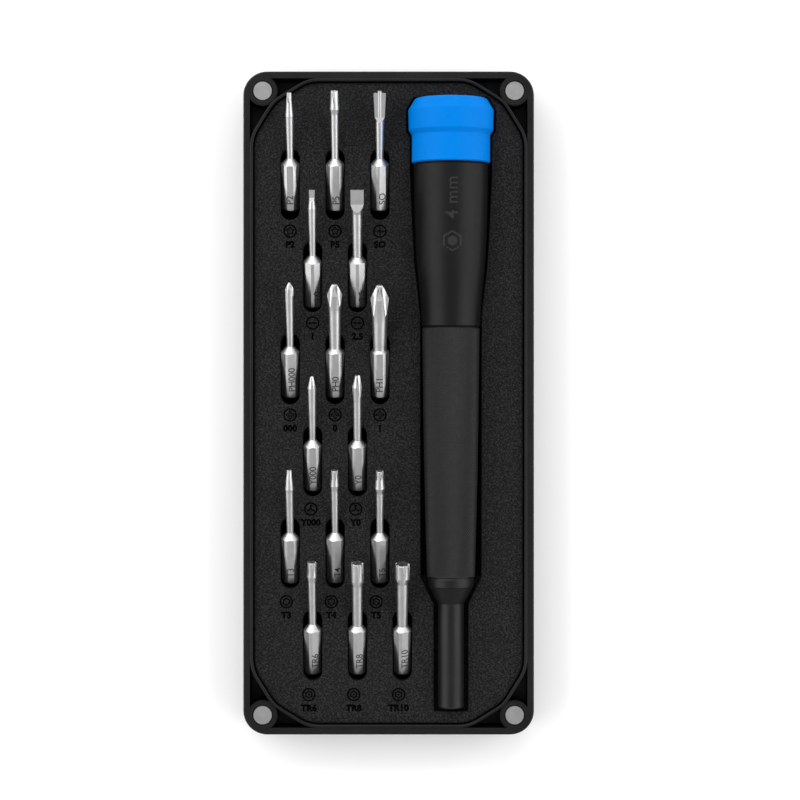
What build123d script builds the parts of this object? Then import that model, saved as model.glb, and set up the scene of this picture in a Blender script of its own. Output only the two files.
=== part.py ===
from build123d import *
import os
from math import cos, radians, sin, tan

# Precision screwdriver set: an open moulded case base, a two-layer foam insert, sixteen
# 4 mm hex bits that lie tilted in foam slots, and a driver with a free-turning cap.
# Millimetres. The origin is the centre of the case's underside, +X runs across the case,
# +Y runs towards the driver's cap and +Z points up out of the open case.

# ---- Case ----
CASE_WIDTH = 65.75
CASE_LENGTH = 150.0
CASE_CORNER_R = 5.4
CASE_FOOT_R = 1.0
FLOOR_TOP = 1.5
RIM_TOP = 12.6
RIM_EDGE_R = 0.35
RIB_TOP = 13.0
RIB_WIDTH = 0.75
RIB_EDGE_R = 0.28
CAVITY_HALF_WIDTH = 30.65
CAVITY_HALF_LENGTH = 72.7
CORNER_CUT = 12.6
CORNER_KNEE = 4.8
CORNER_BLEND_R = 8.0
POCKET_FLOOR = 3.6
POCKET_CORNER_R = 3.6

# ---- Corner magnets ----
MAGNET_X = 28.5
MAGNET_Y = 70.6
MAGNET_R = 2.2
MAGNET_THICKNESS = 2.0
MAGNET_EDGE = 0.15
MAGNET_HOLE_R = 2.32
MAGNET_RECESS = 0.15
BOSS_R = 3.35
BOSS_EDGE = 0.3
BOSS_RISE = 0.2

# ---- Foam ----
FOAM_GAP = 0.18
FOAM_TOP = 12.0
FOAM_SPLIT = 5.2
FOAM_EDGE_R = 0.4
SLOT_WIDTH = 4.36
SLOT_LENGTH = 16.0
END_STRIP_Y = 69.8

# ---- Driver ----
DRIVER_X = 14.1
DRIVER_Z = 11.9
CHANNEL_CLEARANCE = 0.9
GRIP_CHANNEL_HALF_WIDTH = 6.85
NOSE_CHANNEL_HALF_WIDTH = 3.88
GRIP_CHANNEL_TOP_Y = 19.5
GRIP_CHANNEL_FLOOR = 4.7
NOSE_CHANNEL_FLOOR = 8.3
NOSE_CHANNEL_SPACE = 0.8

# Half widths of the channel beside the handle body's swell, each with its Y.
BODY_CHANNEL = [(7.8, 25.5), (8.6, 31.5), (9.1, 38.5)]
CAP_CHANNEL_START_Y = 52.0

CAP_END_Y = 68.9
CAP_END_R = 8.1
CAP_BULGE_R = 9.7
CAP_BULGE_TOP_Y = 66.2
CAP_BULGE_LOW_Y = 61.7
CAP_SKIRT_TOP_Y = 60.6
CAP_SKIRT_R = 8.85
CAP_SKIRT_Y = 54.3
CAP_BORE_R = 8.0
CAP_WEB_LOW_Y = 57.5
CAP_WEB_HOLE_R = 3.9
CAP_CAVITY_R = 6.2
CAP_DISC_R = 7.0
CAP_DISC_Y = 67.2
CAP_DISC_DISH = 0.9

BEARING_R = 4.5
BEARING_BORE_R = 2.0
BEARING_LOW_Y = 58.6
BEARING_WIDTH = 4.0
BEARING_WALL = 0.85
BALL_R = 0.62
BALL_GROOVE_R = 0.65
BALL_COUNT = 9

SCREW_HEAD_R = 2.7
SCREW_HEAD_HEIGHT = 1.5
SCREW_SHANK_R = 0.98
SCREW_LENGTH = 6.0
SCREW_HEX_WIDTH = 2.0

BODY_TOP_Y = 54.0
BODY_LOW_Y = 17.3
BODY_SPIGOT_R = 7.9
GRIP_TOP_Y = 17.0
GRIP_TOP_R = 6.55
GRIP_MIDDLE_Y = -15.0
GRIP_MIDDLE_R = 6.1
GRIP_LOW_Y = -39.4
GRIP_LOW_R = 5.48
GRIP_EDGE = 0.18
WASHER_R = 6.3
COLLAR_LOW_Y = -41.7
CORE_R = 3.0
CORE_TOP_Y = 34.0
CONE_TOP_R = 4.95
CONE_LOW_Y = -45.4
NOSE_R = 2.95
NOSE_END_Y = -69.0
NOSE_EDGE = 0.3
SOCKET_WIDTH = 4.05
SOCKET_DEPTH = 14.0
SOCKET_LEAD_R = 2.55
SOCKET_MAGNET_R = 1.85
SOCKET_MAGNET_LENGTH = 3.0

# The handle body's outline, as radius and Y, from the grip to the cap.
BODY_PROFILE = [
    (6.65, 17.5),
    (6.97, 23.3),
    (7.5, 28.7),
    (7.86, 33.2),
    (8.08, 38.0),
    (8.35, 47.0),
    (8.47, 53.75),
]
BODY_EDGE = 0.25
BODY_FOOT_R = 6.45

# ---- Bits ----
HEX_WIDTH = 3.95
HEX_CORNER_R = 2.1
HEX_TAIL = 10.8
TAIL_CHAMFER = 0.55
SHOULDER_ANGLE = 42.0
BIT_TILT = 21.5
BIT_CLEARANCE = 0.15
COLUMN_X = -22.3
COLUMN_PITCH = 5.08
SLOT_FIRST_TOP = 57.45
ROW_PITCH = 20.88

# Each bit: node name, tip kind, column, row, collar below the slot's upper end, reach of the
# tip past the collar as seen from above, then the diameters of neck, shaft, flare and tip,
# the distances from the tip to the flare and to the shaft, and the hex's roll in degrees.
BITS = [
    ("bit_p2", "pentalobe", 0, 0, 3.4, 15.5, 1.54, 1.81, 1.88, 1.02, 5.4, 5.7, 0),
    ("bit_p5", "pentalobe", 2, 0, 3.4, 15.9, 1.65, 1.81, 2.24, 1.54, 4.1, 5.3, 8),
    ("bit_so", "standoff", 4, 0, 3.4, 15.8, 1.74, 2.03, 2.35, 2.80, 5.5, 5.9, 18),
    ("bit_slot_1", "slotted", 1, 1, 4.5, 15.75, 1.47, 1.83, 1.25, 1.32, 1.8, 4.3, 30),
    ("bit_slot_2_5", "slotted", 3, 1, 4.5, 15.75, 2.10, 2.28, 3.00, 3.00, 3.4, 5.6, 30),
    ("bit_ph000", "cross", 0, 2, 4.1, 15.45, 1.56, 1.95, 1.99, 0.50, 1.5, 3.0, 12),
    ("bit_ph0", "cross", 2, 2, 4.1, 15.05, 2.46, 2.71, 3.44, 1.24, 2.4, 6.0, 5),
    ("bit_ph1", "cross", 4, 2, 4.1, 14.85, 3.05, 3.39, 4.20, 1.36, 3.05, 8.2, 0),
    ("bit_y000", "tri_point", 1, 3, 4.4, 15.6, 1.47, 1.88, 1.92, 0.77, 2.8, 3.8, 3),
    ("bit_y0", "tri_point", 3, 3, 4.4, 15.8, 1.79, 1.90, 2.15, 1.24, 2.8, 6.2, 8),
    ("bit_t3", "hexalobe", 0, 4, 4.5, 15.55, 1.63, 1.81, 1.97, 1.09, 4.6, 5.4, 3),
    ("bit_t4", "hexalobe", 2, 4, 4.5, 15.45, 1.45, 1.67, 1.94, 1.49, 3.7, 4.9, 18),
    ("bit_t5", "hexalobe", 4, 4, 4.5, 15.35, 1.56, 1.76, 2.28, 1.63, 4.2, 5.4, 18),
    ("bit_tr6", "hexalobe_hole", 1, 5, 4.3, 15.55, 1.63, 1.81, 2.22, 1.92, 3.5, 4.9, 18),
    ("bit_tr8", "hexalobe_hole", 3, 5, 4.3, 15.35, 2.22, 2.35, 2.85, 2.76, 4.2, 5.6, 15),
    ("bit_tr10", "hexalobe_hole", 5, 5, 4.3, 15.15, 2.37, 2.55, 3.37, 3.21, 3.3, 4.8, 18),
]

# Flutes cut into each fluted tip: how many, the land left inside them and their radius, both
# as parts of the tip's working diameter, and whether that diameter is the flare or the tip.
FLUTES = {
    "pentalobe": (5, 0.30, 0.22, "tip"),
    "hexalobe": (6, 0.36, 0.14, "tip"),
    "hexalobe_hole": (6, 0.36, 0.14, "tip"),
    "cross": (4, 0.13, 0.40, "flare"),
    "tri_point": (3, 0.13, 0.46, "flare"),
}

FLUTE_START = 0.3
FLUTE_END = 0.15

# Each blade's thickness at the tip, as a part of its width, how much its flats thicken over
# their length, the length over which they run out, and how deep they are cut.
BLADES = {"slotted": 0.16, "standoff": 0.2}
BLADE_THICKENING = 0.12
BLADE_RUN_OUT = 2.4
BLADE_CUT = 3.4

# The standoff blade's round centre pin, which stands out past its end.
STANDOFF_PIN_R = 0.5
STANDOFF_PIN_LENGTH = 0.45

os.makedirs("parts", exist_ok=True)


def finish(part, label):
    """Names a finished piece and writes it to its own file."""
    part.label = label
    export_step(part, f"parts/{label}.step")


# ---- Shared outlines ----
def cavity_outline(height, grow):
    """The foam cavity's outline: its corners are cut back round the magnet bosses."""
    corner = [
        (CAVITY_HALF_WIDTH, CAVITY_HALF_LENGTH - CORNER_CUT),
        (CAVITY_HALF_WIDTH - CORNER_KNEE, CAVITY_HALF_LENGTH - CORNER_KNEE),
        (CAVITY_HALF_WIDTH - CORNER_CUT, CAVITY_HALF_LENGTH),
    ]
    right = corner + [(-x, y) for x, y in reversed(corner)]
    with BuildSketch(Plane.XY.offset(height)) as outline:
        with BuildLine():
            Polyline(*right, *[(-x, -y) for x, y in right], close=True)
        make_face()
        fillet(outline.vertices(), CORNER_BLEND_R)
        if grow != 0:
            offset(amount=grow)
    return outline.sketch


def slot_outlines(height):
    """One full-radius slot under each bit's hex shank."""
    with BuildSketch(Plane.XY.offset(height)) as slots:
        for bit in BITS:
            x = COLUMN_X + COLUMN_PITCH * bit[2]
            top = SLOT_FIRST_TOP - ROW_PITCH * bit[3]
            with Locations((x, top - SLOT_LENGTH / 2)):
                SlotOverall(SLOT_LENGTH, SLOT_WIDTH, rotation=90)
    return slots.sketch


def body_channel(height):
    """The channel round the driver's cap and handle body, which goes through both layers."""
    edge = CHANNEL_CLEARANCE
    right = [
        (GRIP_CHANNEL_HALF_WIDTH, GRIP_CHANNEL_TOP_Y),
        *BODY_CHANNEL,
        (CAP_SKIRT_R + edge, CAP_CHANNEL_START_Y),
        (CAP_SKIRT_R + edge, CAP_SKIRT_TOP_Y - edge),
        (CAP_BULGE_R + edge, CAP_BULGE_LOW_Y - edge),
        (CAP_BULGE_R + edge, END_STRIP_Y),
    ]
    return channel(height, right)


def grip_channel(height):
    """The channel under the grip and its cone."""
    right = [
        (NOSE_CHANNEL_HALF_WIDTH, CONE_LOW_Y),
        (GRIP_CHANNEL_HALF_WIDTH, GRIP_LOW_Y),
        (GRIP_CHANNEL_HALF_WIDTH, GRIP_CHANNEL_TOP_Y),
    ]
    return channel(height, right)


def nose_channel(height):
    """The shallow channel under the nose."""
    right = [
        (NOSE_CHANNEL_HALF_WIDTH, NOSE_END_Y - NOSE_CHANNEL_SPACE),
        (NOSE_CHANNEL_HALF_WIDTH, CONE_LOW_Y),
    ]
    return channel(height, right)


def channel(height, right):
    """A face that is symmetric about the driver's axis, from its right-hand half."""
    half = [(DRIVER_X + x, y) for x, y in right]
    other = [(DRIVER_X - x, y) for x, y in reversed(right)]
    with BuildSketch(Plane.XY.offset(height)) as outline:
        with BuildLine():
            Polyline(*half, *other, close=True)
        make_face()
    return outline.sketch


# ---- Case base ----
wall_half_width = CAVITY_HALF_WIDTH + RIB_WIDTH
wall_half_length = CAVITY_HALF_LENGTH + RIB_WIDTH
cavity = cavity_outline(FLOOR_TOP, 0)
rib = cavity_outline(RIM_TOP, RIB_WIDTH)
with BuildSketch(Plane.XY.offset(RIM_TOP)) as corner_pockets:
    RectangleRounded(2 * wall_half_width, 2 * wall_half_length, POCKET_CORNER_R)
    add(rib, mode=Mode.SUBTRACT)
    with GridLocations(2 * MAGNET_X, 2 * MAGNET_Y, 2, 2):
        Circle(BOSS_R, mode=Mode.SUBTRACT)

with BuildPart() as case_base:
    with BuildSketch():
        RectangleRounded(CASE_WIDTH, CASE_LENGTH, CASE_CORNER_R)
    extrude(amount=RIM_TOP)
    fillet(case_base.edges().group_by(Axis.Z)[0], CASE_FOOT_R)
    fillet(case_base.edges().group_by(Axis.Z)[-1], RIM_EDGE_R)
    extrude(rib, amount=RIB_TOP - RIM_TOP)
    extrude(corner_pockets.sketch, amount=POCKET_FLOOR - RIM_TOP, mode=Mode.SUBTRACT)
    extrude(cavity, amount=RIB_TOP - FLOOR_TOP, mode=Mode.SUBTRACT)
    fillet(case_base.edges().group_by(Axis.Z)[-1], RIB_EDGE_R)
    with BuildSketch(Plane.XY.offset(RIM_TOP)):
        with GridLocations(2 * MAGNET_X, 2 * MAGNET_Y, 2, 2):
            Circle(BOSS_R - BOSS_EDGE)
    extrude(amount=BOSS_RISE)
    with BuildSketch(Plane.XY.offset(RIM_TOP + BOSS_RISE)):
        with GridLocations(2 * MAGNET_X, 2 * MAGNET_Y, 2, 2):
            Circle(MAGNET_HOLE_R)
    extrude(amount=-(MAGNET_THICKNESS + MAGNET_RECESS), mode=Mode.SUBTRACT)
finish(case_base.part, "case_base")

# ---- Corner magnets ----
MAGNETS = {
    "magnet_top_left": (-MAGNET_X, MAGNET_Y),
    "magnet_top_right": (MAGNET_X, MAGNET_Y),
    "magnet_bottom_left": (-MAGNET_X, -MAGNET_Y),
    "magnet_bottom_right": (MAGNET_X, -MAGNET_Y),
}
magnet_base = RIM_TOP + BOSS_RISE - MAGNET_RECESS - MAGNET_THICKNESS
for magnet_name, (magnet_x, magnet_y) in MAGNETS.items():
    with BuildPart() as magnet:
        with BuildSketch(Plane.XY.offset(magnet_base)):
            with Locations((magnet_x, magnet_y)):
                Circle(MAGNET_R)
        extrude(amount=MAGNET_THICKNESS)
        chamfer(magnet.edges().group_by(Axis.Z)[0], MAGNET_EDGE)
        chamfer(magnet.edges().group_by(Axis.Z)[-1], MAGNET_EDGE)
    finish(magnet.part, magnet_name)

# ---- Foam: two layers and a strip that closes the driver's channel at the cap's end ----
end_strip_length = CAVITY_HALF_LENGTH - END_STRIP_Y
with BuildSketch(Plane.XY.offset(FLOOR_TOP)) as end_strip:
    with Locations((0, END_STRIP_Y + end_strip_length / 2)):
        Rectangle(2 * CAVITY_HALF_WIDTH, end_strip_length)

with BuildPart() as foam_end_strip:
    extrude(cavity_outline(FLOOR_TOP, -FOAM_GAP), amount=FOAM_TOP - FLOOR_TOP)
    fillet(foam_end_strip.edges().group_by(Axis.Z)[-1], FOAM_EDGE_R)
    extrude(end_strip.sketch, amount=FOAM_TOP - FLOOR_TOP, mode=Mode.INTERSECT)
finish(foam_end_strip.part, "foam_end_strip")

with BuildPart() as foam_backing:
    extrude(cavity_outline(FLOOR_TOP, -FOAM_GAP), amount=FOAM_SPLIT - FLOOR_TOP)
    extrude(end_strip.sketch, amount=FOAM_SPLIT - FLOOR_TOP, mode=Mode.SUBTRACT)
    extrude(body_channel(FLOOR_TOP), amount=FOAM_SPLIT - FLOOR_TOP, mode=Mode.SUBTRACT)
    extrude(grip_channel(GRIP_CHANNEL_FLOOR), amount=FOAM_SPLIT - GRIP_CHANNEL_FLOOR,
            mode=Mode.SUBTRACT)
finish(foam_backing.part, "foam_backing")

with BuildPart() as foam_insert:
    extrude(cavity_outline(FOAM_SPLIT, -FOAM_GAP), amount=FOAM_TOP - FOAM_SPLIT)
    fillet(foam_insert.edges().group_by(Axis.Z)[-1], FOAM_EDGE_R)
    extrude(end_strip.sketch, amount=FOAM_TOP - FLOOR_TOP, mode=Mode.SUBTRACT)
    extrude(slot_outlines(FOAM_SPLIT), amount=FOAM_TOP - FOAM_SPLIT, mode=Mode.SUBTRACT)
    extrude(body_channel(FOAM_SPLIT), amount=FOAM_TOP - FOAM_SPLIT, mode=Mode.SUBTRACT)
    extrude(grip_channel(FOAM_SPLIT), amount=FOAM_TOP - FOAM_SPLIT, mode=Mode.SUBTRACT)
    extrude(nose_channel(NOSE_CHANNEL_FLOOR), amount=FOAM_TOP - NOSE_CHANNEL_FLOOR,
            mode=Mode.SUBTRACT)
finish(foam_insert.part, "foam_insert")

# ---- Driver: every piece is turned about one axis along +Y ----
driver_plane = Plane(origin=(DRIVER_X, 0, DRIVER_Z), x_dir=(1, 0, 0), z_dir=(0, 0, 1))
driver_axis = Axis((DRIVER_X, 0, DRIVER_Z), (0, 1, 0))


def turned(points):
    """A solid turned about the driver's axis, from (radius, Y) corners."""
    with BuildPart() as piece:
        with BuildSketch(driver_plane):
            with BuildLine():
                Polyline(*points, close=True)
            make_face()
        revolve(axis=driver_axis)
    return piece


bearing_high_y = BEARING_LOW_Y + BEARING_WIDTH
ball_y = BEARING_LOW_Y + BEARING_WIDTH / 2
ball_pitch_r = (BEARING_BORE_R + BEARING_R) / 2

# The cap is an open shell: skirt bore, web, bearing seat, screw cavity and disc seat.
with BuildPart() as swivel_cap:
    with BuildSketch(driver_plane):
        with BuildLine():
            Polyline(
                (CAP_BORE_R, CAP_SKIRT_Y),
                (CAP_SKIRT_R - 0.25, CAP_SKIRT_Y),
                (CAP_SKIRT_R, CAP_SKIRT_Y + 0.25),
                (CAP_SKIRT_R, CAP_SKIRT_TOP_Y),
                (CAP_BULGE_R - 0.12, CAP_BULGE_LOW_Y),
                (CAP_BULGE_R, CAP_BULGE_TOP_Y),
                (CAP_END_R, CAP_END_Y),
                (CAP_DISC_R, CAP_END_Y),
                (CAP_DISC_R, CAP_DISC_Y),
                (CAP_CAVITY_R, CAP_DISC_Y),
                (CAP_CAVITY_R, bearing_high_y),
                (BEARING_R, bearing_high_y),
                (BEARING_R, BEARING_LOW_Y),
                (CAP_WEB_HOLE_R, BEARING_LOW_Y),
                (CAP_WEB_HOLE_R, CAP_WEB_LOW_Y),
                (CAP_BORE_R, CAP_WEB_LOW_Y),
                close=True,
            )
        make_face()
    revolve(axis=driver_axis)
    outer_rings = swivel_cap.edges().filter_by(GeomType.CIRCLE)
    fillet(outer_rings.filter_by(lambda e: abs(e.radius - CAP_END_R) < 0.01), 0.9)
    outer_rings = swivel_cap.edges().filter_by(GeomType.CIRCLE)
    fillet(outer_rings.filter_by(lambda e: e.radius > CAP_BULGE_R - 0.2), 0.35)
finish(swivel_cap.part, "swivel_cap")

# The end disc is dished for a fingertip.
with BuildPart() as cap_end_disc:
    with BuildSketch(driver_plane):
        with BuildLine():
            Polyline(
                (0, CAP_END_Y - CAP_DISC_DISH),
                (0, CAP_DISC_Y),
                (CAP_DISC_R, CAP_DISC_Y),
                (CAP_DISC_R, CAP_END_Y - 0.1),
                (CAP_DISC_R - 0.3, CAP_END_Y),
            )
            TangentArc(
                (0, CAP_END_Y - CAP_DISC_DISH),
                (CAP_DISC_R - 0.3, CAP_END_Y),
                tangent=(1, 0),
            )
        make_face()
    revolve(axis=driver_axis)
finish(cap_end_disc.part, "cap_end_disc")


def bearing_ring(inner_r, outer_r):
    """One ring of the cap's bearing, with its ball groove."""
    with BuildPart() as ring:
        with BuildSketch(driver_plane):
            with BuildLine():
                Polyline(
                    (inner_r, BEARING_LOW_Y),
                    (outer_r, BEARING_LOW_Y),
                    (outer_r, bearing_high_y),
                    (inner_r, bearing_high_y),
                    close=True,
                )
            make_face()
            with Locations((ball_pitch_r, ball_y)):
                Circle(BALL_GROOVE_R, mode=Mode.SUBTRACT)
        revolve(axis=driver_axis)
    return ring


finish(bearing_ring(BEARING_R - BEARING_WALL, BEARING_R).part, "bearing_outer_ring")
finish(bearing_ring(BEARING_BORE_R, BEARING_BORE_R + BEARING_WALL).part, "bearing_inner_ring")

ball_plane = Plane(origin=(DRIVER_X, ball_y, DRIVER_Z), x_dir=(1, 0, 0), z_dir=(0, 1, 0))
with BuildPart() as bearing_balls:
    with Locations(ball_plane):
        with PolarLocations(ball_pitch_r, BALL_COUNT):
            Sphere(BALL_R)
finish(bearing_balls.part, "bearing_balls")

# A cap screw clamps the inner ring to the handle's pin.
with BuildPart() as bearing_screw:
    with BuildSketch(driver_plane):
        with BuildLine():
            Polyline(
                (0, bearing_high_y - SCREW_LENGTH),
                (SCREW_SHANK_R, bearing_high_y - SCREW_LENGTH),
                (SCREW_SHANK_R, bearing_high_y),
                (SCREW_HEAD_R, bearing_high_y),
                (SCREW_HEAD_R, bearing_high_y + SCREW_HEAD_HEIGHT - 0.25),
                (SCREW_HEAD_R - 0.25, bearing_high_y + SCREW_HEAD_HEIGHT),
                (0, bearing_high_y + SCREW_HEAD_HEIGHT),
                close=True,
            )
        make_face()
    revolve(axis=driver_axis)
    with BuildSketch(ball_plane.offset(bearing_high_y + SCREW_HEAD_HEIGHT - ball_y)):
        RegularPolygon(SCREW_HEX_WIDTH / 2, 6, major_radius=False)
    extrude(amount=-1.0, mode=Mode.SUBTRACT)
finish(bearing_screw.part, "bearing_screw")

# The handle body swells from the grip to the cap, and ends in the bearing's pin.
with BuildPart() as handle_body:
    with BuildSketch(driver_plane):
        with BuildLine():
            Line((CORE_R, CORE_TOP_Y), (CORE_R, BODY_LOW_Y))
            Line((CORE_R, BODY_LOW_Y), (BODY_FOOT_R, BODY_LOW_Y))
            Line((BODY_FOOT_R, BODY_LOW_Y), BODY_PROFILE[0])
            Spline(*BODY_PROFILE, tangents=((0.02, 1), (0.01, 1)))
            Polyline(
                BODY_PROFILE[-1],
                (BODY_PROFILE[-1][0] - BODY_EDGE, BODY_TOP_Y),
                (BODY_SPIGOT_R, BODY_TOP_Y),
                (BODY_SPIGOT_R, CAP_WEB_LOW_Y - 0.2),
                (BEARING_BORE_R + 0.6, CAP_WEB_LOW_Y - 0.2),
                (BEARING_BORE_R + 0.6, BEARING_LOW_Y),
                (BEARING_BORE_R, BEARING_LOW_Y),
                (BEARING_BORE_R, bearing_high_y - 0.1),
                (SCREW_SHANK_R + 0.02, bearing_high_y - 0.1),
                (SCREW_SHANK_R + 0.02, bearing_high_y - SCREW_LENGTH - 0.5),
                (0, bearing_high_y - SCREW_LENGTH - 0.5),
                (0, CORE_TOP_Y),
                (CORE_R, CORE_TOP_Y),
            )
        make_face()
    revolve(axis=driver_axis)
finish(handle_body.part, "handle_body")

grip_washer = turned([
    (CORE_R, GRIP_TOP_Y),
    (WASHER_R, GRIP_TOP_Y),
    (WASHER_R, BODY_LOW_Y),
    (CORE_R, BODY_LOW_Y),
])
finish(grip_washer.part, "grip_washer")

# The grip narrows slightly towards the nose.
with BuildPart() as grip_sleeve:
    with BuildSketch(driver_plane):
        with BuildLine():
            Line((CORE_R, GRIP_TOP_Y), (CORE_R, GRIP_LOW_Y))
            Line((CORE_R, GRIP_LOW_Y), (GRIP_LOW_R - GRIP_EDGE, GRIP_LOW_Y))
            Line((GRIP_LOW_R - GRIP_EDGE, GRIP_LOW_Y), (GRIP_LOW_R, GRIP_LOW_Y + GRIP_EDGE))
            Spline(
                (GRIP_LOW_R, GRIP_LOW_Y + GRIP_EDGE),
                (GRIP_MIDDLE_R, GRIP_MIDDLE_Y),
                (GRIP_TOP_R, GRIP_TOP_Y - GRIP_EDGE),
            )
            Line((GRIP_TOP_R, GRIP_TOP_Y - GRIP_EDGE), (GRIP_TOP_R - GRIP_EDGE, GRIP_TOP_Y))
            Line((GRIP_TOP_R - GRIP_EDGE, GRIP_TOP_Y), (CORE_R, GRIP_TOP_Y))
        make_face()
    revolve(axis=driver_axis)
finish(grip_sleeve.part, "grip_sleeve")

grip_collar = turned([
    (CORE_R, COLLAR_LOW_Y),
    (4.9, COLLAR_LOW_Y),
    (5.05, COLLAR_LOW_Y + 0.15),
    (5.3, GRIP_LOW_Y - 0.5),
    (5.15, GRIP_LOW_Y),
    (CORE_R, GRIP_LOW_Y),
])
finish(grip_collar.part, "grip_collar")

# One shaft makes the core inside the grip, the cone and the nose with its hex socket.
mouth_plane = Plane(origin=(DRIVER_X, NOSE_END_Y, DRIVER_Z), x_dir=(1, 0, 0), z_dir=(0, 1, 0))
with BuildPart() as drive_shaft:
    with BuildSketch(driver_plane):
        with BuildLine():
            Polyline(
                (0, NOSE_END_Y),
                (NOSE_R - NOSE_EDGE, NOSE_END_Y),
                (NOSE_R, NOSE_END_Y + NOSE_EDGE),
                (NOSE_R, CONE_LOW_Y),
                (CONE_TOP_R, COLLAR_LOW_Y),
                (CORE_R, COLLAR_LOW_Y),
                (CORE_R, CORE_TOP_Y),
                (0, CORE_TOP_Y),
                close=True,
            )
        make_face()
    revolve(axis=driver_axis)
    with BuildSketch(mouth_plane):
        RegularPolygon(SOCKET_WIDTH / 2, 6, major_radius=False)
    extrude(amount=SOCKET_DEPTH, mode=Mode.SUBTRACT)
    with BuildSketch(mouth_plane):
        Circle(SOCKET_MAGNET_R + 0.05)
    extrude(amount=SOCKET_DEPTH + SOCKET_MAGNET_LENGTH, mode=Mode.SUBTRACT)
    with BuildSketch(driver_plane):
        with BuildLine():
            Polyline(
                (0, NOSE_END_Y),
                (SOCKET_LEAD_R, NOSE_END_Y),
                (0, NOSE_END_Y + SOCKET_LEAD_R),
                close=True,
            )
        make_face()
    revolve(axis=driver_axis, mode=Mode.SUBTRACT)
finish(drive_shaft.part, "drive_shaft")

socket_floor_y = NOSE_END_Y + SOCKET_DEPTH + SOCKET_MAGNET_LENGTH
socket_magnet = turned([
    (0, socket_floor_y - SOCKET_MAGNET_LENGTH),
    (SOCKET_MAGNET_R, socket_floor_y - SOCKET_MAGNET_LENGTH),
    (SOCKET_MAGNET_R, socket_floor_y),
    (0, socket_floor_y),
])
finish(socket_magnet.part, "socket_magnet")


# ---- Bits ----
def bit_plane(x, y, z, tilt, roll):
    """A plane at a bit's collar: its normal runs up the bit to the tip."""
    turn = radians(roll)
    return Plane(
        origin=(x, y, z),
        x_dir=(cos(turn), sin(turn) * sin(tilt), -sin(turn) * cos(tilt)),
        z_dir=(0, cos(tilt), sin(tilt)),
    )


def profile_plane(along):
    """A plane through a bit's axis, with local x as radius and local y along the bit."""
    return Plane(origin=along.origin, x_dir=along.x_dir, z_dir=-along.y_dir)


def blade_outlines(along, reach, thickness, flat):
    """The two wedges that thin a blade towards its tip, drawn on the blade's side."""
    run_out = reach - flat - BLADE_RUN_OUT
    side = Plane(origin=along.origin, x_dir=along.y_dir, z_dir=along.x_dir)
    with BuildSketch(side) as wedges:
        with BuildLine():
            Polyline(
                (thickness / 2, reach),
                (BLADE_CUT, reach),
                (BLADE_CUT, run_out),
                (BLADE_CUT / 2, run_out),
                (thickness / 2 + BLADE_THICKENING, reach - flat),
                close=True,
            )
        make_face()
        mirror(about=Plane.YZ)
    return wedges.sketch


def make_bit(name, kind, column, row, drop, seen, neck_d, shaft_d, flare_d, tip_d, flare, shaft,
             roll):
    """One bit: hex shank, cone shoulder, slim shaft and its drive tip."""
    tilt = radians(BIT_TILT)
    reach = seen / cos(tilt)
    if kind == "standoff":
        reach -= STANDOFF_PIN_LENGTH
    shoulder = (HEX_CORNER_R - neck_d / 2) / tan(radians(SHOULDER_ANGLE))
    collar_x = COLUMN_X + COLUMN_PITCH * column
    collar_y = SLOT_FIRST_TOP - ROW_PITCH * row - drop
    lift = (shaft_d / 2 + BIT_CLEARANCE) / cos(tilt) - drop * tan(tilt)
    shank = bit_plane(collar_x, collar_y, FOAM_TOP + lift, tilt, roll)
    upright = bit_plane(collar_x, collar_y, FOAM_TOP + lift, tilt, 0)
    bit_axis = Axis(shank.origin, shank.z_dir)
    if kind in FLUTES:
        count, land, radius, reference = FLUTES[kind]
        size = tip_d if reference == "tip" else flare_d
    if kind in BLADES:
        blade = blade_outlines(upright, reach, BLADES[kind] * tip_d, flare)
    with BuildPart() as bit:
        with BuildSketch(shank.offset(-HEX_TAIL)):
            RegularPolygon(HEX_WIDTH / 2, 6, major_radius=False)
        extrude(amount=HEX_TAIL + shoulder)
        with BuildSketch(profile_plane(shank)):
            with BuildLine():
                Polyline(
                    (0, -HEX_TAIL),
                    (HEX_CORNER_R - TAIL_CHAMFER, -HEX_TAIL),
                    (HEX_CORNER_R, -HEX_TAIL + TAIL_CHAMFER),
                    (HEX_CORNER_R, 0),
                    (neck_d / 2, shoulder),
                    (0, shoulder),
                    close=True,
                )
            make_face()
        revolve(axis=bit_axis, mode=Mode.INTERSECT)
        with BuildSketch(profile_plane(shank)):
            with BuildLine():
                Polyline(
                    (0, shoulder - 0.2),
                    (neck_d / 2, shoulder - 0.2),
                    (neck_d / 2, shoulder + 0.5),
                    (shaft_d / 2, reach - shaft),
                    (flare_d / 2, reach - flare),
                    (tip_d / 2, reach - 0.1),
                    (tip_d / 2 - 0.1, reach),
                    (0, reach),
                    close=True,
                )
            make_face()
        revolve(axis=bit_axis)
        if kind in FLUTES:
            with Locations(shank.offset(reach + FLUTE_START)):
                with PolarLocations(size * (land + radius), count, start_angle=180 / count):
                    Cone(
                        bottom_radius=FLUTE_END * size * radius,
                        top_radius=size * radius,
                        height=shaft + FLUTE_START,
                        align=(Align.CENTER, Align.CENTER, Align.MAX),
                        mode=Mode.SUBTRACT,
                    )
        if kind == "hexalobe_hole":
            with BuildSketch(shank.offset(reach)):
                Circle(0.14 * tip_d)
            extrude(amount=-0.5 * tip_d, mode=Mode.SUBTRACT)
        if kind in BLADES:
            extrude(blade, amount=BLADE_CUT, both=True, mode=Mode.SUBTRACT)
        if kind == "standoff":
            with BuildSketch(shank.offset(reach + STANDOFF_PIN_LENGTH)):
                Circle(STANDOFF_PIN_R)
            extrude(amount=-shaft - STANDOFF_PIN_LENGTH)
    finish(bit.part, name)


for bit_values in BITS:
    make_bit(*bit_values)
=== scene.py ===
from math import cos, pi, radians, sin, tan

import bmesh
import bpy
import numpy as np
from mathutils import Matrix, Vector


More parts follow.
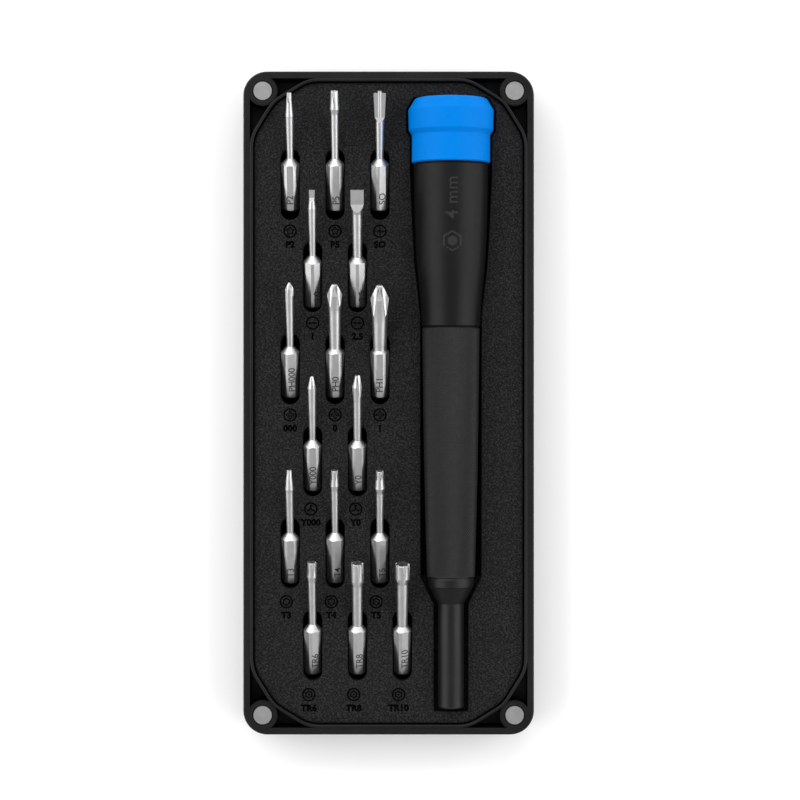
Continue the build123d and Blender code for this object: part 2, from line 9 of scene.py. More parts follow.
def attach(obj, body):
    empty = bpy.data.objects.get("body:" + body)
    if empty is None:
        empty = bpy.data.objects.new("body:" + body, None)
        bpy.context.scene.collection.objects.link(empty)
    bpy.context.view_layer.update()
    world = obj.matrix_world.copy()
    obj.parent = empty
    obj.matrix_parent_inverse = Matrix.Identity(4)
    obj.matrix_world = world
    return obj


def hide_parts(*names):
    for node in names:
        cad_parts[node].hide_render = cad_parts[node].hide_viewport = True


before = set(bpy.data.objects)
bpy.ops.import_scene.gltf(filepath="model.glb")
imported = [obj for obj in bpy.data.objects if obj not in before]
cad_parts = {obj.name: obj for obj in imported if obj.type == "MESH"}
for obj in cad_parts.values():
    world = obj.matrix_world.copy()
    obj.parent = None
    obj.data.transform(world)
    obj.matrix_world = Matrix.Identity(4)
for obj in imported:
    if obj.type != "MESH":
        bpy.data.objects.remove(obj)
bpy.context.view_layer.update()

MM = 0.001

# ---- Sizes, in millimetres, as the CAD has them ----
CAVITY_HALF_WIDTH = 30.65
CAVITY_HALF_LENGTH = 72.7
CORNER_CUT = 12.6
CORNER_KNEE = 4.8
CORNER_BLEND_R = 8.0
FLOOR_TOP = 1.5
FOAM_GAP = 0.18
FOAM_SPLIT = 5.2
FOAM_TOP = 12.0
SLOT_WIDTH = 4.36
SLOT_LENGTH = 16.0
COLUMN_X = -22.3
COLUMN_PITCH = 5.08
SLOT_FIRST_TOP = 57.45
ROW_PITCH = 20.88
DRIVER_X = 14.1
DRIVER_Z = 11.9
GRIP_CHANNEL_FLOOR = 4.7
NOSE_CHANNEL_FLOOR = 8.3
GRIP_TOP_Y = 17.0
GRIP_LOW_Y = -39.4
RIM_TOP = 12.6

# Edges that only the visual foam has, and how far a cutter reaches past what it cuts.
INSERT_EDGE_R = 0.45
BACKING_EDGE_R = 0.3
CUT_EDGE_R = 0.3
CHANNEL_CORNER_R = 0.25
REACH_PAST = 1.0
SMOOTH_ANGLE = radians(34)

# Half widths of the driver's channel, from the nose end to the cap end.
CHANNEL = [
    (3.88, -69.8), (3.88, -45.4), (6.85, -39.4), (6.85, 19.5), (7.45, 25.5), (8.2, 31.5),
    (8.6, 38.5), (9.2, 52.0), (9.2, 60.25), (10.05, 61.35), (10.05, 66.375), (8.45, 69.25),
]

# Each bit: code pressed in the foam, code etched on its shank, pictogram, column, row.
BITS = {
    "p2": ("P2", "P2", "pentalobe", 0, 0),
    "p5": ("P5", "P5", "pentalobe", 2, 0),
    "so": ("SO", "SO", "divided", 4, 0),
    "slot_1": ("1", "1.0", "bar", 1, 1),
    "slot_2_5": ("2.5", "2.5", "bar", 3, 1),
    "ph000": ("000", "PH000", "cross", 0, 2),
    "ph0": ("0", "PH0", "cross", 2, 2),
    "ph1": ("1", "PH1", "cross", 4, 2),
    "y000": ("Y000", "Y000", "three", 1, 3),
    "y0": ("Y0", "Y0", "three", 3, 3),
    "t3": ("T3", "T3", "hexalobe", 0, 4),
    "t4": ("T4", "T4", "hexalobe", 2, 4),
    "t5": ("T5", "T5", "hexalobe", 4, 4),
    "tr6": ("TR6", "TR6", "hexalobe_dot", 1, 5),
    "tr8": ("TR8", "TR8", "hexalobe_dot", 3, 5),
    "tr10": ("TR10", "TR10", "hexalobe_dot", 5, 5),
}
ICON_ROWS = [38.9, 18.1, -2.7, -24.0, -45.0, -66.0]
ICON_SHIFTS = [0.0, 0.0, 0.0, -0.4, -0.85, -0.85]
ICON_R = 1.54
ICON_RING_R = 1.18
CODE_DROP = 3.1
CODE_SIZE = 2.0
CODE_SPACING = 1.05
CODE_BOLD = 0.12
PRESS_DEPTH = 0.6


# ---- Materials ----
class Surface:
    """A principled material with helpers for noise, ramps and bumps in object space."""

    def __init__(self, name, **values):
        self.material = bpy.data.materials.new(name)
        self.material.use_nodes = True
        self.tree = self.material.node_tree
        self.shader = self.tree.nodes["Principled BSDF"]
        for socket, value in values.items():
            self.shader.inputs[socket.replace("_", " ")].default_value = value
        self.coords = self.tree.nodes.new("ShaderNodeTexCoord").outputs["Object"]

    def noise(self, scale, detail=3.0, rough=0.55, stretch=(1, 1, 1)):
        mapping = self.tree.nodes.new("ShaderNodeMapping")
        mapping.inputs["Scale"].default_value = stretch
        self.tree.links.new(self.coords, mapping.inputs["Vector"])
        node = self.tree.nodes.new("ShaderNodeTexNoise")
        node.inputs["Scale"].default_value = scale
        node.inputs["Detail"].default_value = detail
        node.inputs["Roughness"].default_value = rough
        self.tree.links.new(mapping.outputs["Vector"], node.inputs["Vector"])
        return node.outputs["Fac"]

    def cells(self, scale):
        node = self.tree.nodes.new("ShaderNodeTexVoronoi")
        node.inputs["Scale"].default_value = scale
        self.tree.links.new(self.coords, node.inputs["Vector"])
        return node.outputs["Distance"]

    def ramp(self, fac, *stops):
        node = self.tree.nodes.new("ShaderNodeValToRGB")
        elements = node.color_ramp.elements
        while len(elements) < len(stops):
            elements.new(0.5)
        for element, (position, value) in zip(elements, stops):
            element.position = position
            colour = value if isinstance(value, tuple) else (value, value, value)
            element.color = (*colour, 1.0)
        self.tree.links.new(fac, node.inputs["Fac"])
        return node.outputs["Color"]

    def multiply(self, first, second):
        node = self.tree.nodes.new("ShaderNodeMix")
        node.data_type = "RGBA"
        node.blend_type = "MULTIPLY"
        node.inputs["Factor"].default_value = 1.0
        self.tree.links.new(first, node.inputs["A"])
        self.tree.links.new(second, node.inputs["B"])
        return node.outputs["Result"]

    def colour(self, output):
        self.tree.links.new(output, self.shader.inputs["Base Color"])

    def roughness(self, output):
        self.tree.links.new(output, self.shader.inputs["Roughness"])

    def bump(self, height, distance, strength=1.0):
        node = self.tree.nodes.new("ShaderNodeBump")
        node.inputs["Strength"].default_value = strength
        node.inputs["Distance"].default_value = distance
        self.tree.links.new(height, node.inputs["Height"])
        previous = self.shader.inputs["Normal"].links
        if previous:
            self.tree.links.new(previous[0].from_socket, node.inputs["Normal"])
        self.tree.links.new(node.outputs["Normal"], self.shader.inputs["Normal"])


def case_plastic():
    """Moulded satin black plastic: a fine spark-eroded grain, a few worn shinier patches."""
    s = Surface("case_plastic", Metallic=0.0)
    s.shader.inputs["Specular IOR Level"].default_value = 0.26
    s.colour(s.ramp(s.noise(900, 4), (0.3, 0.0014), (0.7, 0.0034)))
    s.roughness(s.ramp(s.noise(120, 4), (0.3, 0.36), (0.7, 0.5)))
    s.bump(s.noise(5200, 2), 0.00002, 0.5)
    s.bump(s.noise(60, 2), 0.00008, 0.25)
    return s.material


def foam(name, low, mid, high, tint):
    """Closed-cell foam: pits and specks of about a third of a millimetre."""
    s = Surface(name, Metallic=0.0, Roughness=0.86)
    s.shader.inputs["Specular IOR Level"].default_value = 0.15
    dark = tuple(low * c for c in tint)
    middle = tuple(mid * c for c in tint)
    light = tuple(high * c for c in tint)
    specks = s.ramp(s.noise(2600, 2, 0.6), (0.36, dark), (0.5, middle), (0.66, light))
    patches = s.ramp(s.noise(160, 3), (0.25, 0.8), (0.75, 1.0))
    s.colour(s.multiply(specks, patches))
    s.bump(s.cells(2300), 0.00016, 0.7)
    s.bump(s.noise(3600, 2), 0.0001, 0.6)
    return s.material


def anodised(name, low, high, rough_low, rough_high, gloss):
    """Bead-blasted, dyed aluminium."""
    s = Surface(name, Metallic=0.0)
    s.shader.inputs["Specular IOR Level"].default_value = gloss
    s.colour(s.ramp(s.noise(700, 4), (0.3, low), (0.7, high)))
    s.roughness(s.ramp(s.noise(90, 4), (0.3, rough_low), (0.7, rough_high)))
    s.bump(s.noise(6500, 2), 0.00001, 0.6)
    return s.material


def plated(name, low, high, rough_low, rough_high, grain=(1, 1, 1), depth=0.5):
    """Ground and nickel-plated steel with fine grinding lines along it."""
    s = Surface(name, Metallic=1.0)
    s.colour(s.ramp(s.noise(500, 5, 0.6), (0.3, low), (0.7, high)))
    s.roughness(s.ramp(s.noise(1500, 4, 0.6, grain), (0.3, rough_low), (0.7, rough_high)))
    s.bump(s.noise(9000, 3, 0.6, grain), 0.000006, depth)
    return s.material


CASE = case_plastic()
FOAM = foam("foam", 0.003, 0.009, 0.026, (1.0, 1.0, 1.02))
# Painted shade: a far darker foam for the floors and walls of the pressed codes, standing in for
# the shade in these recesses.
PRESSED_PAINTED_SHADE = foam("pressed_foam_painted_shade", 0.0004, 0.0008, 0.0016, (1.0, 1.0, 1.05))
BACKING = foam("backing_foam", 0.001, 0.003, 0.008, (0.7, 0.85, 1.9))
BLACK = anodised("black_anodised", 0.0045, 0.0065, 0.36, 0.46, 0.24)
BODY = anodised("black_satin_anodised", 0.003, 0.0045, 0.38, 0.46, 0.17)
KNURL = anodised("black_knurled", 0.007, 0.010, 0.36, 0.46, 0.26)
MARK = anodised("laser_mark", 0.010, 0.013, 0.5, 0.6, 0.3)
RING = anodised("dark_ring", 0.002, 0.003, 0.7, 0.8, 0.1)
BLUE = anodised("blue_anodised", (0.0, 0.163, 0.57), (0.0, 0.173, 0.60), 0.42, 0.5, 0.04)
MAGNET = plated("satin_nickel", 0.31, 0.37, 0.42, 0.52, depth=0.7)
STEEL = plated("ground_steel", 0.48, 0.56, 0.28, 0.40)
BIT = plated("bit_steel", 0.50, 0.58, 0.32, 0.42, (1, 0.06, 1), 0.6)
ETCH = plated("etched_code", 0.012, 0.02, 0.62, 0.72)
ETCH.node_tree.nodes["Principled BSDF"].inputs["Metallic"].default_value = 0.0

NODE_MATERIALS = {
    "case_base": CASE, "handle_body": BODY, "grip_collar": BLACK, "drive_shaft": BLACK,
    "grip_washer": RING, "swivel_cap": BLUE, "cap_end_disc": BLUE, "socket_magnet": MAGNET,
    "bearing_inner_ring": STEEL, "bearing_outer_ring": STEEL, "bearing_balls": STEEL,
    "bearing_screw": STEEL, "magnet_top_left": MAGNET, "magnet_top_right": MAGNET,
    "magnet_bottom_left": MAGNET, "magnet_bottom_right": MAGNET,
}
NODE_MATERIALS.update({"bit_" + code: BIT for code in BITS})
for node_name, material in NODE_MATERIALS.items():
    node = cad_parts[node_name]
    if not node.data.materials:
        node.data.materials.append(material)
    for material_slot in node.material_slots:
        material_slot.material = material


# ---- Outline and mesh helpers ----
def moved_out(points, distance):
    """A closed outline, counter-clockwise, moved outwards by a distance, with square corners."""
    count = len(points)
    result = []
    for i, point in enumerate(points):
        p = Vector(point)
        before = (p - Vector(points[i - 1])).normalized()
        after = (Vector(points[(i + 1) % count]) - p).normalized()
        normal_a = Vector((before.y, -before.x))
        normal_b = Vector((after.y, -after.x))
        middle = (normal_a + normal_b) / (1 + normal_a.dot(normal_b))
        result.append(tuple(p + middle * distance))
    return result


def rounded(points, radius, steps=7):
    """A closed outline with every corner rounded."""
    count = len(points)
    result = []
    for i, point in enumerate(points):
        p = Vector(point)
        a = (Vector(points[i - 1]) - p).normalized()
        b = (Vector(points[(i + 1) % count]) - p).normalized()
        half = a.angle(b) / 2
        centre = p + (a + b).normalized() * radius / sin(half)
        start = p + a * radius / tan(half) - centre
        end = p + b * radius / tan(half) - centre
        sweep = start.angle_signed(end)
        for k in range(steps + 1):
            turn = Matrix.Rotation(-sweep * k / steps, 2)
            result.append(tuple(centre + turn @ start))
    return result


def cavity(grow):
    """The foam's outline, counter-clockwise."""
    w, h = CAVITY_HALF_WIDTH, CAVITY_HALF_LENGTH
    corner = [(w, h - CORNER_CUT), (w - CORNER_KNEE, h - CORNER_KNEE), (w - CORNER_CUT, h)]
    upper = corner + [(-x, y) for x, y in reversed(corner)]
    outline = upper + [(-x, -y) for x, y in upper]
    return rounded(moved_out(outline, grow), CORNER_BLEND_R + grow)


def stadium(x, y, width, length, steps=14):
    """A slot along Y, counter-clockwise."""
    r = width / 2
    reach = length / 2 - r
    arcs = []
    for side in (1, -1):
        for k in range(steps + 1):
            turn = pi * k / steps
            arcs.append((x + side * r * cos(turn), y + side * (reach + r * sin(turn))))
    return arcs


def channel(points, grow):
    """An outline about the driver's axis, counter-clockwise."""
    right = [(DRIVER_X + w, y) for w, y in points]
    left = [(DRIVER_X - w, y) for w, y in reversed(points)]
    return rounded(moved_out(right + left, grow), CHANNEL_CORNER_R, 3)


def mesh_object(name, bm):
    """A new object from a bmesh, in the scene."""
    bmesh.ops.recalc_face_normals(bm, faces=bm.faces)
    mesh = bpy.data.meshes.new(name)
    bm.to_mesh(mesh)
    bm.free()
    piece = bpy.data.objects.new(name, mesh)
    bpy.context.scene.collection.objects.link(piece)
    return piece


def stack(bm, rings):
    """Adds a closed solid through rings of (height, outline), in millimetres."""
    loops = []
    for height, outline in rings:
        loops.append([bm.verts.new((x * MM, y * MM, height * MM)) for x, y in outline])
    bm.faces.new(list(reversed(loops[0])))
    bm.faces.new(loops[-1])
    for low, high in zip(loops, loops[1:]):
        for i in range(len(low)):
            j = (i + 1) % len(low)
            bm.faces.new((low[i], low[j], high[j], high[i]))


def flare(bottom, top, radius, outline, steps=4):
    """Rings for a cutter that leaves a rounded edge on the foam at its top."""
    rings = [(bottom, outline(0.0))]
    for k in range(steps + 1):
        turn = pi / 2 * k / steps
        rings.append((top - radius + radius * sin(turn), outline(radius * (1 - cos(turn)))))
    rings.append((top + REACH_PAST, outline(radius)))
    return rings


def domed(bottom, top, radius, outline, steps=4):
    """Rings for a slab with a rounded upper edge."""
    rings = [(bottom, outline(0.0))]
    for k in range(steps + 1):
        turn = pi / 2 * k / steps
        rings.append((top - radius + radius * sin(turn), outline(-radius * (1 - cos(turn)))))
    return rings


def cut(piece, cutter):
    """Subtracts a cutter from a piece and removes the cutter."""
    modifier = piece.modifiers.new("cut", "BOOLEAN")
    modifier.operation = "DIFFERENCE"
    modifier.solver = "EXACT"
    modifier.use_self = True
    modifier.object = cutter
    bpy.context.view_layer.update()
    graph = bpy.context.evaluated_depsgraph_get()
    result = bpy.data.meshes.new_from_object(piece.evaluated_get(graph))
    piece.modifiers.clear()
    piece.data = result
    bpy.data.objects.remove(cutter)


def curve_mesh(curve, thickness):
    """A flat curve's filled shape as an extruded, closed bmesh about its own plane."""
    curve.dimensions = "2D"
    curve.fill_mode = "BOTH"
    curve.extrude = thickness / 2
    carrier = bpy.data.objects.new("carrier", curve)
    bpy.context.scene.collection.objects.link(carrier)
    bpy.context.view_layer.update()
    graph = bpy.context.evaluated_depsgraph_get()
    mesh = bpy.data.meshes.new_from_object(carrier.evaluated_get(graph))
    bpy.data.objects.remove(carrier)
    bm = bmesh.new()
    bm.from_mesh(mesh)
    bpy.data.meshes.remove(mesh)
    bmesh.ops.remove_doubles(bm, verts=bm.verts, dist=1e-7)
    return bm


def lettering(words, size, thickness, spacing=1.0, bold=0.0):
    """Centred text in its own plane, in metres, reading along X."""
    text = bpy.data.curves.new("words", "FONT")
    text.body = words
    text.size = size * MM
    text.space_character = spacing
    text.offset = bold * MM
    text.align_x = "CENTER"
    text.align_y = "CENTER"
    text.resolution_u = 3
    return curve_mesh(text, thickness)


def outlines_mesh(outlines, thickness):
    """Filled outlines, in millimetres, where one inside another is a hole."""
    curve = bpy.data.curves.new("outlines", "CURVE")
    for outline in outlines:
        spline = curve.splines.new("POLY")
        spline.points.add(len(outline) - 1)
        for point, (x, y) in zip(spline.points, outline):
            point.co = (x * MM, y * MM, 0, 1)
        spline.use_cyclic_u = True
    return curve_mesh(curve, thickness)


def merge(target, source, matrix):
    """Adds a placed bmesh to another."""
    bmesh.ops.transform(source, matrix=matrix, verts=source.verts)
    mesh = bpy.data.meshes.new("part")
    source.to_mesh(mesh)
    source.free()
    target.from_mesh(mesh)
    bpy.data.meshes.remove(mesh)


# ---- Pictograms: a circle with the drive's shape in it ----
def lobes(count, radius, depth, steps=60):
    """A circle whose radius swells by a depth at each of its lobes."""
    points = []
    for k in range(steps):
        turn = 2 * pi * k / steps
        r = radius + depth * cos(count * turn - pi / 2 * count)
        points.append((r * cos(turn), r * sin(turn)))
    return points


def arms(count, length, width, start):
    """A star of straight arms."""
    points = []
    for k in range(count):
        turn = start + 2 * pi * k / count
        along = Vector((cos(turn), sin(turn)))
        across = Vector((-sin(turn), cos(turn)))
        points.append(tuple(along * length - across * width / 2))
        points.append(tuple(along * length + across * width / 2))
        half = pi / count
        notch = Vector((cos(turn + half), sin(turn + half))) * width / 2 / sin(half)
        points.append(tuple(notch))
    return points


def pictogram(kind):
    """A ring with the outline of one drive in it, in millimetres."""
    shapes = [lobes(1, ICON_R, 0.0, 40), lobes(1, ICON_RING_R, 0.0, 40)]
    if kind == "pentalobe":
        shapes += [lobes(5, 0.82, 0.15), lobes(5, 0.50, 0.12)]
    if kind.startswith("hexalobe"):
        shapes += [lobes(6, 0.86, 0.12), lobes(6, 0.54, 0.10)]
    if kind == "hexalobe_dot":
        shapes.append(lobes(1, 0.22, 0.0, 16))
    if kind == "bar":
        shapes.append(arms(2, 1.0, 0.34, 0.0))
    if kind == "cross":
        shapes += [arms(4, 0.98, 0.6, 0.0), arms(4, 0.76, 0.2, 0.0)]
    if kind == "divided":
        shapes.append(arms(4, 1.16, 0.24, 0.0))
    if kind == "three":
        shapes.append(arms(3, 1.0, 0.36, pi / 2))
    return shapes


# ---- Foam insert: slots, driver channel and pressed codes cut out of one sheet ----
bm = bmesh.new()
stack(bm, domed(FOAM_SPLIT, FOAM_TOP, INSERT_EDGE_R, lambda d: cavity(d - FOAM_GAP)))
foam_insert = mesh_object("foam_insert_cut", bm)

bm = bmesh.new()
for foam_code, _, kind, column, row in BITS.values():
    x = COLUMN_X + COLUMN_PITCH * column
    y = SLOT_FIRST_TOP - ROW_PITCH * row - SLOT_LENGTH / 2
    stack(bm, flare(FOAM_SPLIT - REACH_PAST, FOAM_TOP, CUT_EDGE_R,
                    lambda d: stadium(x, y, SLOT_WIDTH + 2 * d, SLOT_LENGTH + 2 * d)))
    spot = Vector((x + ICON_SHIFTS[row], ICON_ROWS[row], FOAM_TOP)) * MM
    merge(bm, outlines_mesh(pictogram(kind), 2 * PRESS_DEPTH * MM), Matrix.Translation(spot))
    spot.y -= CODE_DROP * MM
    merge(bm, lettering(foam_code, CODE_SIZE, 2 * PRESS_DEPTH * MM, CODE_SPACING, CODE_BOLD),
          Matrix.Translation(spot))
stack(bm, flare(NOSE_CHANNEL_FLOOR, FOAM_TOP, CUT_EDGE_R, lambda d: channel(CHANNEL, d)))
cut(foam_insert, mesh_object("cutter", bm))

# The wide part of the channel goes on down through the insert, inside the cut above it.
WIDE_CHANNEL = channel(CHANNEL[2:], -0.01)
bm = bmesh.new()
stack(bm, [(FOAM_SPLIT - REACH_PAST, WIDE_CHANNEL),
           (NOSE_CHANNEL_FLOOR + REACH_PAST, WIDE_CHANNEL)])
cut(foam_insert, mesh_object("cutter", bm))

foam_insert.data.materials.clear()
for material in (FOAM, PRESSED_PAINTED_SHADE):
    foam_insert.data.materials.append(material)
# The floors and walls of the pressed codes take the darker foam, which is painted shade in these
# recesses.
press_floor = (FOAM_TOP - PRESS_DEPTH) * MM
press_middle = (FOAM_TOP - PRESS_DEPTH / 2) * MM
level_error = 0.01 * MM
for face in foam_insert.data.polygons:
    floor_face = abs(face.center.z - press_floor) < level_error and face.normal.z > 0.9
    wall_face = abs(face.center.z - press_middle) < level_error and abs(face.normal.z) < 0.01
    face.material_index = 1 if floor_face or wall_face else 0
foam_insert.data.shade_smooth()
foam_insert.data.set_sharp_from_angle(angle=SMOOTH_ANGLE)
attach(foam_insert, "case")
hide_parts("foam_insert", "foam_end_strip")

# ---- Foam backing: open below the handle body, with a shelf below the grip ----
bm = bmesh.new()
stack(bm, domed(FLOOR_TOP, FOAM_SPLIT, BACKING_EDGE_R, lambda d: cavity(d - FOAM_GAP)))
foam_backing = mesh_object("foam_backing_cut", bm)
for bottom, stretch in ((FLOOR_TOP - REACH_PAST, CHANNEL[3:]), (GRIP_CHANNEL_FLOOR, CHANNEL[1:4])):
    bm = bmesh.new()
    stack(bm, flare(bottom, FOAM_SPLIT, CUT_EDGE_R, lambda d: channel(stretch, d)))
    cut(foam_backing, mesh_object("cutter", bm))
foam_backing.data.materials.clear()
foam_backing.data.materials.append(BACKING)
foam_backing.data.shade_smooth()
foam_backing.data.set_sharp_from_angle(angle=SMOOTH_ANGLE)
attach(foam_backing, "case")
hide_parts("foam_backing")

# ---- Knurled grip ----
# Radius and Y along the grip.
GRIP_PROFILE = [(5.48, -39.22), (5.62, -34.0), (5.86, -25.0), (6.1, -15.0), (6.34, 0.0),
                (6.55, 16.82)]
KNURL_ROUND = 60
KNURL_PITCH = 0.62
KNURL_DEPTH = 0.13
PLAIN_END = 0.35
GRIP_BORE_R = 5.0
GRIP_LOW_R = 5.3
GRIP_TOP_R = 6.37
GRIP_EDGE = 0.18
GRIP_EDGE_DROP = 0.05


def grip_radius(y):
    """The grip's radius over the tips of its knurls."""
    radii, places = zip(*GRIP_PROFILE)
    return float(np.interp(y, places, radii))


def knurled_grip():
    """A sleeve covered in flattened pyramids between two crossing sets of grooves."""
    top, low = GRIP_TOP_Y - PLAIN_END, GRIP_LOW_Y + PLAIN_END
    rows = int(round((top - low) / KNURL_PITCH)) * 2
    columns = 2 * KNURL_ROUND
    bm = bmesh.new()

    def ring(y, radii):
        """A ring of vertices whose radii alternate between two values."""
        verts = []
        for i in range(columns):
            turn = 2 * pi * i / columns
            r = radii[i % 2]
            verts.append(bm.verts.new(((DRIVER_X + r * cos(turn)) * MM, y * MM,
                                       (DRIVER_Z + r * sin(turn)) * MM)))
        return verts

    rings = [ring(GRIP_LOW_Y, (GRIP_BORE_R, GRIP_BORE_R))]
    rings.append(ring(GRIP_LOW_Y, (GRIP_LOW_R, GRIP_LOW_R)))
    edge = grip_radius(low) - GRIP_EDGE_DROP
    rings.append(ring(GRIP_LOW_Y + GRIP_EDGE, (edge, edge)))
    first_knurl = len(rings)
    for j in range(rows + 1):
        y = low + (top - low) * j / rows
        high = grip_radius(y)
        deep = high - KNURL_DEPTH
        rings.append(ring(y, (high, deep) if j % 2 == 0 else (deep, high)))
    edge = grip_radius(top) - GRIP_EDGE_DROP
    rings.append(ring(GRIP_TOP_Y - GRIP_EDGE, (edge, edge)))
    rings.append(ring(GRIP_TOP_Y, (GRIP_TOP_R, GRIP_TOP_R)))
    rings.append(ring(GRIP_TOP_Y, (GRIP_BORE_R, GRIP_BORE_R)))
    knurls = range(first_knurl, first_knurl + rows)
    for index, (lower, upper) in enumerate(zip(rings, rings[1:])):
        for i in range(columns):
            k = (i + 1) % columns
            a, b, c, d = lower[i], lower[k], upper[k], upper[i]
            if index not in knurls:
                bm.faces.new((a, b, c, d))
            elif (index - first_knurl + i) % 2 == 0:
                bm.faces.new((a, b, d))
                bm.faces.new((b, c, d))
            else:
                bm.faces.new((a, b, c))
                bm.faces.new((a, c, d))
    for i in range(columns):
        k = (i + 1) % columns
        bm.faces.new((rings[-1][i], rings[-1][k], rings[0][k], rings[0][i]))
    return mesh_object("grip_knurled", bm)


grip = knurled_grip()
grip.data.materials.append(KNURL)
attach(grip, "driver")
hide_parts("grip_sleeve")


# ---- Etched codes on the bits' shanks ----
FLAT_AREA = 4e-6
SAME_PLANE = 0.99999
RIGHT_LEAN = 0.15
ETCH_SIZE = 2.2
ETCH_SPACING = 0.95
ETCH_BOLD = 0.01
ETCH_THICKNESS = 0.02
ETCH_RISE = 0.005
ETCH_START = 1.5


def shank_facet(node):
    """A bit's axis, and the shank facet that faces up most: normal, height and corners."""
    mesh = node.data
    normals = np.array([p.normal for p in mesh.polygons])
    areas = np.array([p.area for p in mesh.polygons])
    tilts = np.radians(np.arange(10.0, 30.0, 0.25))
    axes = np.stack([np.zeros_like(tilts), np.cos(tilts), np.sin(tilts)], axis=1)
    along_shank = np.abs(normals @ axes.T) < 0.008
    shank = along_shank[:, int(np.argmax(areas @ along_shank))]
    flats = normals[shank & (areas > FLAT_AREA)]
    normal = flats[int(np.argmax(flats[:, 2] + RIGHT_LEAN * flats[:, 0]))]
    beside = flats[int(np.argmin(np.abs(flats @ normal - 0.5)))]
    axis = Vector(normal).cross(Vector(beside)).normalized()
    if axis.y < 0:
        axis = -axis
    chosen = np.nonzero(normals @ normal > SAME_PLANE)[0]
    corners = [mesh.vertices[v].co for i in chosen for v in mesh.polygons[int(i)].vertices]
    normal = Vector(normal)
    out = max(c.dot(normal) for c in corners)
    corners = [c for c in corners if c.dot(normal) > out - 0.02 * MM]
    return axis, normal, out, corners


for code, (_, etched, _, _, _) in BITS.items():
    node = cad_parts["bit_" + code]
    axis, normal, out, corners = shank_facet(node)
    across = axis.cross(normal)
    along = [c.dot(axis) for c in corners]
    sides = [c.dot(across) for c in corners]
    middle = (min(sides) + max(sides)) / 2
    letters = lettering(etched, ETCH_SIZE, ETCH_THICKNESS * MM, ETCH_SPACING, ETCH_BOLD)
    width = max(v.co.x for v in letters.verts) - min(v.co.x for v in letters.verts)
    centre = min(along) + ETCH_START * MM + width / 2
    origin = axis * centre + across * middle + normal * (out + ETCH_RISE * MM)
    rotation = Matrix((axis, -across, normal)).transposed().to_4x4()
    bm = bmesh.new()
    merge(bm, letters, Matrix.Translation(origin) @ rotation)
    piece = mesh_object("code_" + code, bm)
    piece.data.materials.append(ETCH)
    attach(piece, code + "_bit")

# ---- Generic mark on the handle: a hexagon and the socket size ----
# Radius and Y along the handle body.
BODY_PROFILE = [(6.65, 17.5), (6.97, 23.3), (7.5, 28.7), (7.86, 33.2), (8.08, 38.0),
                (8.35, 47.0), (8.47, 53.75)]
MARK_TURN = 0.02
MARK_THICKNESS = 0.01
MARK_RISE = 0.012
LONG_EDGE = 0.6 * MM
HEXAGON_RADII = (2.4, 1.95, 1.2)
HEXAGON_Y = 36.3
SOCKET_WORDS_Y = 46.0
SOCKET_WORDS_SIZE = 4.0


def wrapped(flat, name, centre_y):
    """Wraps a flat bmesh, whose X runs along the handle, onto the handle body."""
    radii, places = zip(*BODY_PROFILE)
    bmesh.ops.triangulate(flat, faces=flat.faces)
    long_edges = [e for e in flat.edges if e.calc_length() > LONG_EDGE]
    bmesh.ops.subdivide_edges(flat, edges=long_edges, cuts=2, use_grid_fill=False)
    for vert in flat.verts:
        y = centre_y + vert.co.x / MM
        r = float(np.interp(y, places, radii)) + MARK_RISE + vert.co.z / MM
        angle = MARK_TURN - vert.co.y / MM / r
        vert.co = Vector((DRIVER_X + r * sin(angle), y, DRIVER_Z + r * cos(angle))) * MM
    piece = mesh_object(name, flat)
    piece.data.materials.append(MARK)
    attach(piece, "driver")


hexagons = [[(r * cos(pi / 3 * k), r * sin(pi / 3 * k)) for k in range(6)]
            for r in HEXAGON_RADII]
wrapped(outlines_mesh(hexagons, MARK_THICKNESS * MM), "mark_hexagon", HEXAGON_Y)
socket_words = lettering("4 mm", SOCKET_WORDS_SIZE, MARK_THICKNESS * MM, CODE_SPACING, 0.02)
wrapped(socket_words, "mark_size", SOCKET_WORDS_Y)

# ---- Stage, light and camera ----
FLOOR_HALF_WIDTH = 2.5
FLOOR_COLOUR = (0.93, 0.93, 0.93, 1.0)
DOME_STRENGTH = 0.55

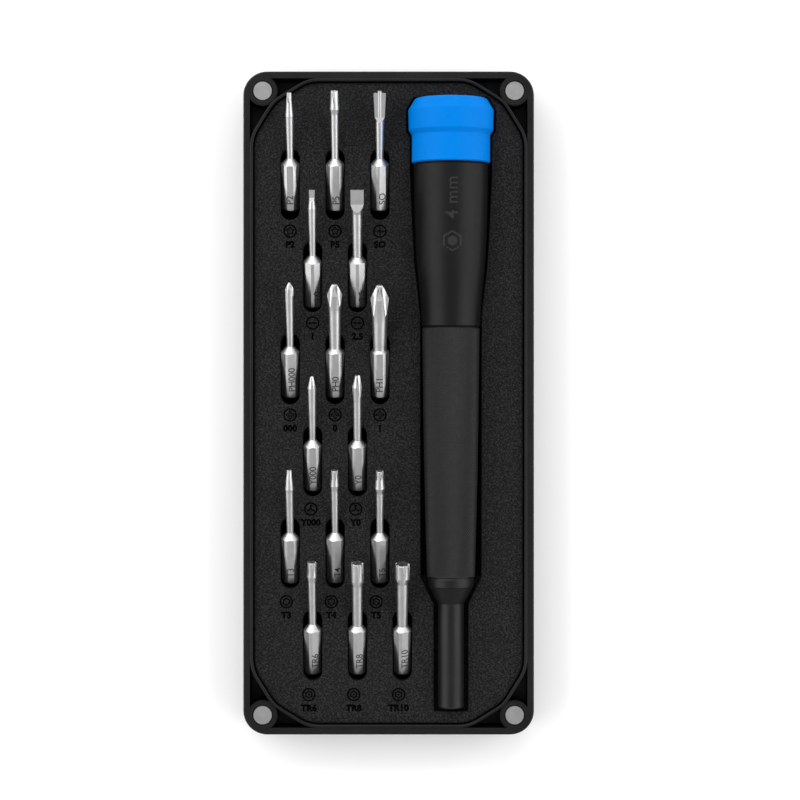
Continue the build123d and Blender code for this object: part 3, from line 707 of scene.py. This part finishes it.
# Each softbox: name, place and size in metres, and power in watts. All face the origin.
SOFTBOXES = [
    ("left", (-1.0, 0.1, 0.72), (1.6, 1.15), 12.5),
    ("right", (1.0, 0.0, 0.66), (1.6, 1.15), 12),
    ("back", (-0.1, 1.0, 0.85), (1.4, 0.9), 8.5),
]

bm = bmesh.new()
bmesh.ops.create_grid(bm, x_segments=8, y_segments=8, size=FLOOR_HALF_WIDTH)
floor = mesh_object("floor", bm)
floor_surface = Surface("floor", Roughness=0.7)
floor_surface.shader.inputs["Base Color"].default_value = FLOOR_COLOUR
floor_surface.shader.inputs["Specular IOR Level"].default_value = 0.1
floor.data.materials.append(floor_surface.material)


def softbox(name, place, size, power):
    """A rectangular area light that faces the origin."""
    light = bpy.data.lights.new(name, "AREA")
    light.shape = "RECTANGLE"
    light.size, light.size_y = size
    light.energy = power
    lamp = bpy.data.objects.new(name, light)
    lamp.location = place
    lamp.rotation_euler = (-Vector(place)).to_track_quat("-Z", "Y").to_euler()
    bpy.context.scene.collection.objects.link(lamp)


for values in SOFTBOXES:
    softbox(*values)

world = bpy.data.worlds.new("studio")
world.use_nodes = True
world.node_tree.nodes["Background"].inputs["Color"].default_value = (1, 1, 1, 1)
world.node_tree.nodes["Background"].inputs["Strength"].default_value = DOME_STRENGTH
bpy.context.scene.world = world
bpy.context.scene.view_settings.view_transform = "Standard"

# The camera looks straight down. Its place and the width of its view are in millimetres.
CAMERA_X = 2.57
CAMERA_Y = 0.68
CAMERA_DISTANCE = 620.0
FRAME_WIDTH = 180.9
SENSOR_WIDTH = 36.0
camera_data = bpy.data.cameras.new("camera")
camera_data.sensor_width = SENSOR_WIDTH
camera_data.lens = SENSOR_WIDTH * CAMERA_DISTANCE / FRAME_WIDTH
camera_data.clip_start = 0.05
camera = bpy.data.objects.new("camera", camera_data)
camera.location = Vector((CAMERA_X, CAMERA_Y, RIM_TOP + CAMERA_DISTANCE)) * MM
bpy.context.scene.collection.objects.link(camera)
bpy.context.scene.camera = camera
